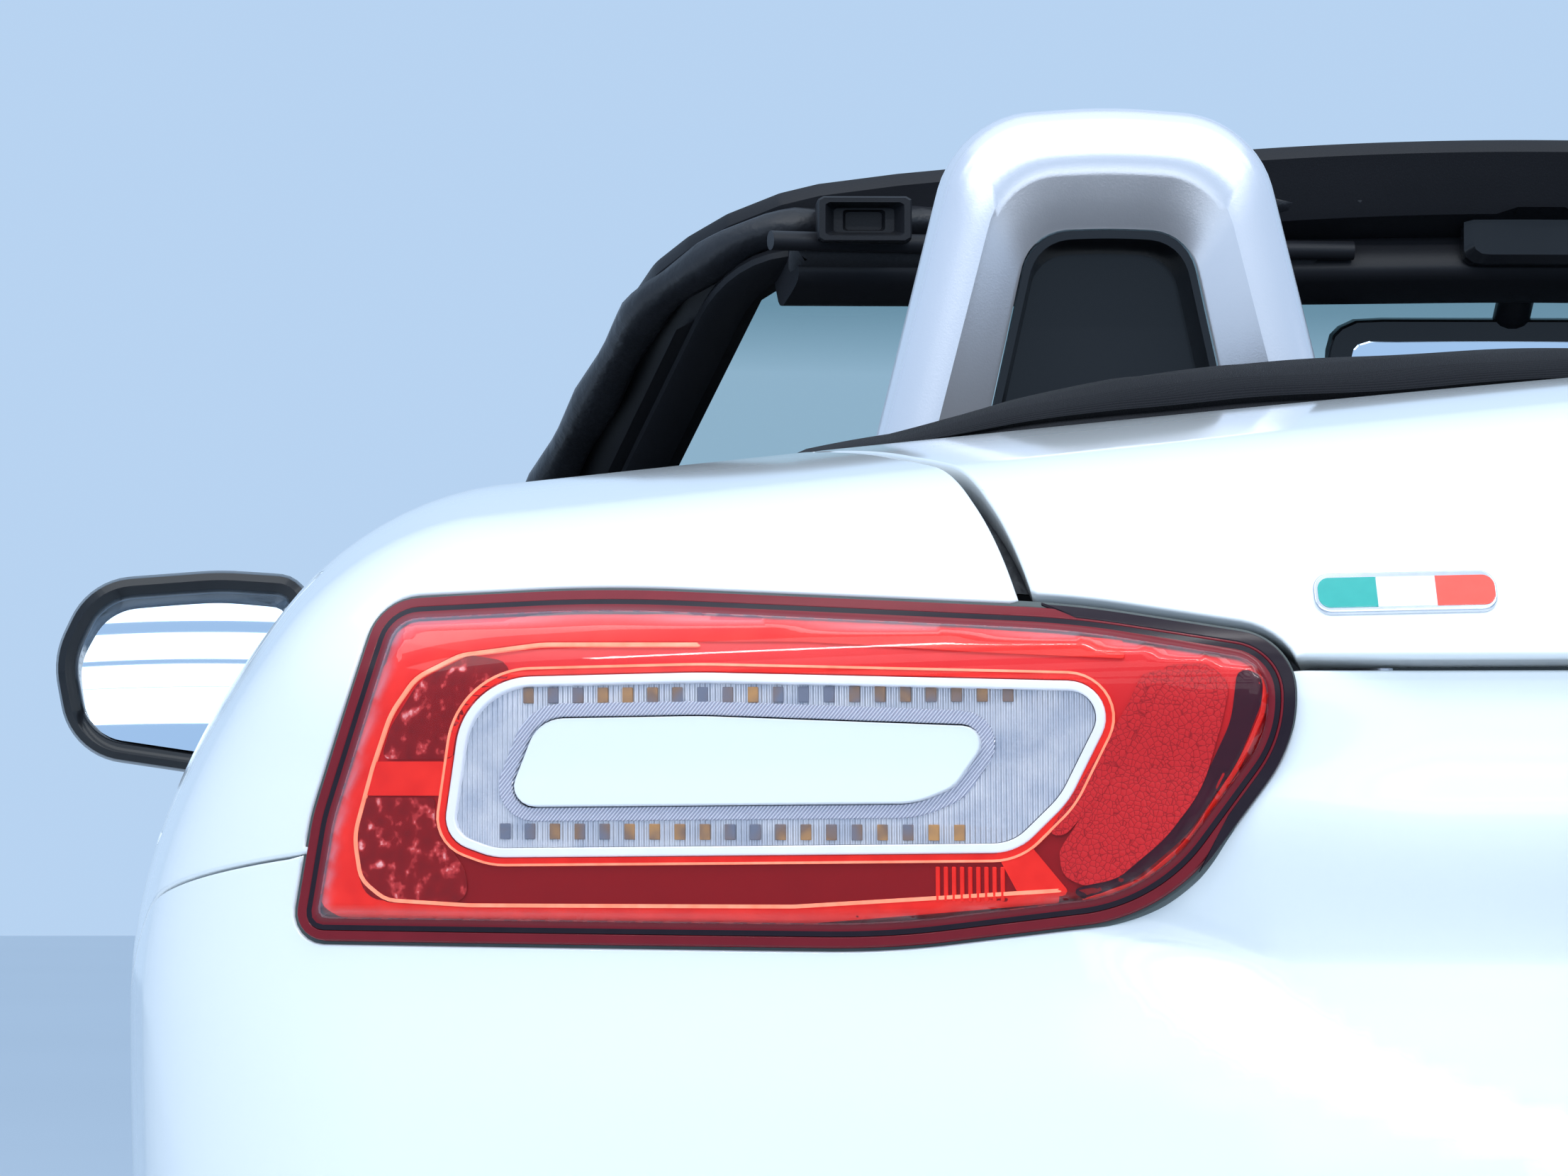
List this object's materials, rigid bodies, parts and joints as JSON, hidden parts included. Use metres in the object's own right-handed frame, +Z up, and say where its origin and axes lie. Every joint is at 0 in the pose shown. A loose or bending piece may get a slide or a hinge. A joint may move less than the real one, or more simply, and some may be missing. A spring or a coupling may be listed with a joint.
{
  "type": "roadster convertible",
  "caption": "Compact roadster convertible with its roof folded: hinged doors, bonnet and boot lid, roll hoops, steered and rolling wheels.",
  "frame": {"origin": "on the ground, midway along the car and on its centre line", "axes": "+X to the car's left, +Y to its tail, +Z up; the front faces -Y"},
  "size_m": [1.9894, 4.0509, 1.1958],
  "materials": {
    "paint": "clear-coated gloss",
    "black_trim": "fine grain",
    "gloss_black": "polished",
    "body_steel": "satin primer and underseal",
    "cast": "as cast",
    "iron": "as cast",
    "steel": "satin",
    "silver": "satin silver",
    "alloy": "painted silver",
    "tyre": "matt",
    "rubber": "matt",
    "red_lens": "polished, transparent red",
    "clear_lens": "polished, clear",
    "glass": "clear with a green tint",
    "cloth": "woven",
    "seat_cloth": "woven",
    "plate": "satin white, blank",
    "mirror": "polished"
  },
  "bodies": {
    "body": {"floor_tub": "body_steel", "side_trims": "black_trim", "sills": "paint", "front_frame": "body_steel", "engine_block": "cast", "arch_liners": "black_trim", "rear_frame": "body_steel", "front_wings": "paint", "front_bumper": "paint", "headlamps": "clear_lens", "grille": "black_trim", "cowl_panel": "black_trim", "door_seals": "rubber", "rear_wings": "paint", "fuel_pocket": "black_trim", "tail_bumper": "paint", "rear_deck": "paint", "boot_gutter": "rubber", "tail_lamp_lenses": "red_lens", "tail_lamp_rings": "clear_lens", "tail_lamp_islands": "paint", "tail_lamp_housings": "black_trim", "folded_roof": "cloth", "rear_shelf": "black_trim", "roll_hoops": "silver", "hoop_fillers": "black_trim", "number_plate": "plate", "windscreen_frame": "black_trim", "windscreen": "glass", "sun_visors": "black_trim", "cabin_mirror": "black_trim", "dashboard": "black_trim", "centre_console": "black_trim", "seat_left": "seat_cloth", "seat_right": "seat_cloth", "steering_wheel": "rubber", "front_arms": "steel", "rear_axle": "iron", "exhaust": "steel"},
    "bonnet": {"bonnet": "paint"},
    "boot_lid": {"boot_lid": "paint"},
    "fuel_flap": {"fuel_flap": "paint"},
    "door_left": {"door_left_shell": "paint", "door_left_mirror": "gloss_black"},
    "knuckle_left": {"knuckle_left": "iron"},
    "wheel_front_left": {"tyre_front_left": "tyre", "wheel_front_left": "alloy"},
    "wheel_rear_left": {"tyre_rear_left": "tyre", "wheel_rear_left": "alloy"},
    "door_right": {"door_right_shell": "paint", "door_right_mirror": "gloss_black"},
    "knuckle_right": {"knuckle_right": "iron"},
    "wheel_front_right": {"tyre_front_right": "tyre", "wheel_front_right": "alloy"},
    "wheel_rear_right": {"tyre_rear_right": "tyre", "wheel_rear_right": "alloy"}
  },
  "joints": [
    {"name": "steer_left", "type": "hinge", "parent": "body", "child": "knuckle_left", "pos_m": [0.668, -1.19, 0.308], "axis": [0, 0, 1], "range_deg": [-30, 30]},
    {"name": "roll_front_left", "type": "hinge", "parent": "knuckle_left", "child": "wheel_front_left", "pos_m": [0.75, -1.19, 0.308], "axis": [1, 0, 0], "continuous": true},
    {"name": "roll_rear_left", "type": "hinge", "parent": "body", "child": "wheel_rear_left", "pos_m": [0.75, 1.12, 0.308], "axis": [1, 0, 0], "continuous": true},
    {"name": "steer_right", "type": "hinge", "parent": "body", "child": "knuckle_right", "pos_m": [-0.668, -1.19, 0.308], "axis": [0, 0, 1], "range_deg": [-30, 30]},
    {"name": "roll_front_right", "type": "hinge", "parent": "knuckle_right", "child": "wheel_front_right", "pos_m": [-0.75, -1.19, 0.308], "axis": [1, 0, 0], "continuous": true},
    {"name": "roll_rear_right", "type": "hinge", "parent": "body", "child": "wheel_rear_right", "pos_m": [-0.75, 1.12, 0.308], "axis": [1, 0, 0], "continuous": true},
    {"name": "door_left_swing", "type": "hinge", "parent": "body", "child": "door_left", "pos_m": [0.848, -0.68, 0.5], "axis": [0, 0, -1], "range_deg": [0, 62]},
    {"name": "door_right_swing", "type": "hinge", "parent": "body", "child": "door_right", "pos_m": [-0.848, -0.68, 0.5], "axis": [0, 0, 1], "range_deg": [0, 62]},
    {"name": "bonnet_lift", "type": "hinge", "parent": "body", "child": "bonnet", "pos_m": [0, -0.632, 0.918], "axis": [-1, 0, 0], "range_deg": [0, 50]},
    {"name": "boot_lift", "type": "hinge", "parent": "body", "child": "boot_lid", "pos_m": [0, 1.24, 0.984], "axis": [1, 0, 0], "range_deg": [0, 70]},
    {"name": "fuel_swing", "type": "hinge", "parent": "body", "child": "fuel_flap", "pos_m": [0.8258, 1.3671, 0.8005], "axis": [0.5138, 0.0269, -0.8575], "range_deg": [0, 80]}
  ],
  "couplings": [
    {"joint": "steer_right", "follows": "steer_left", "ratio": 1}
  ]
}
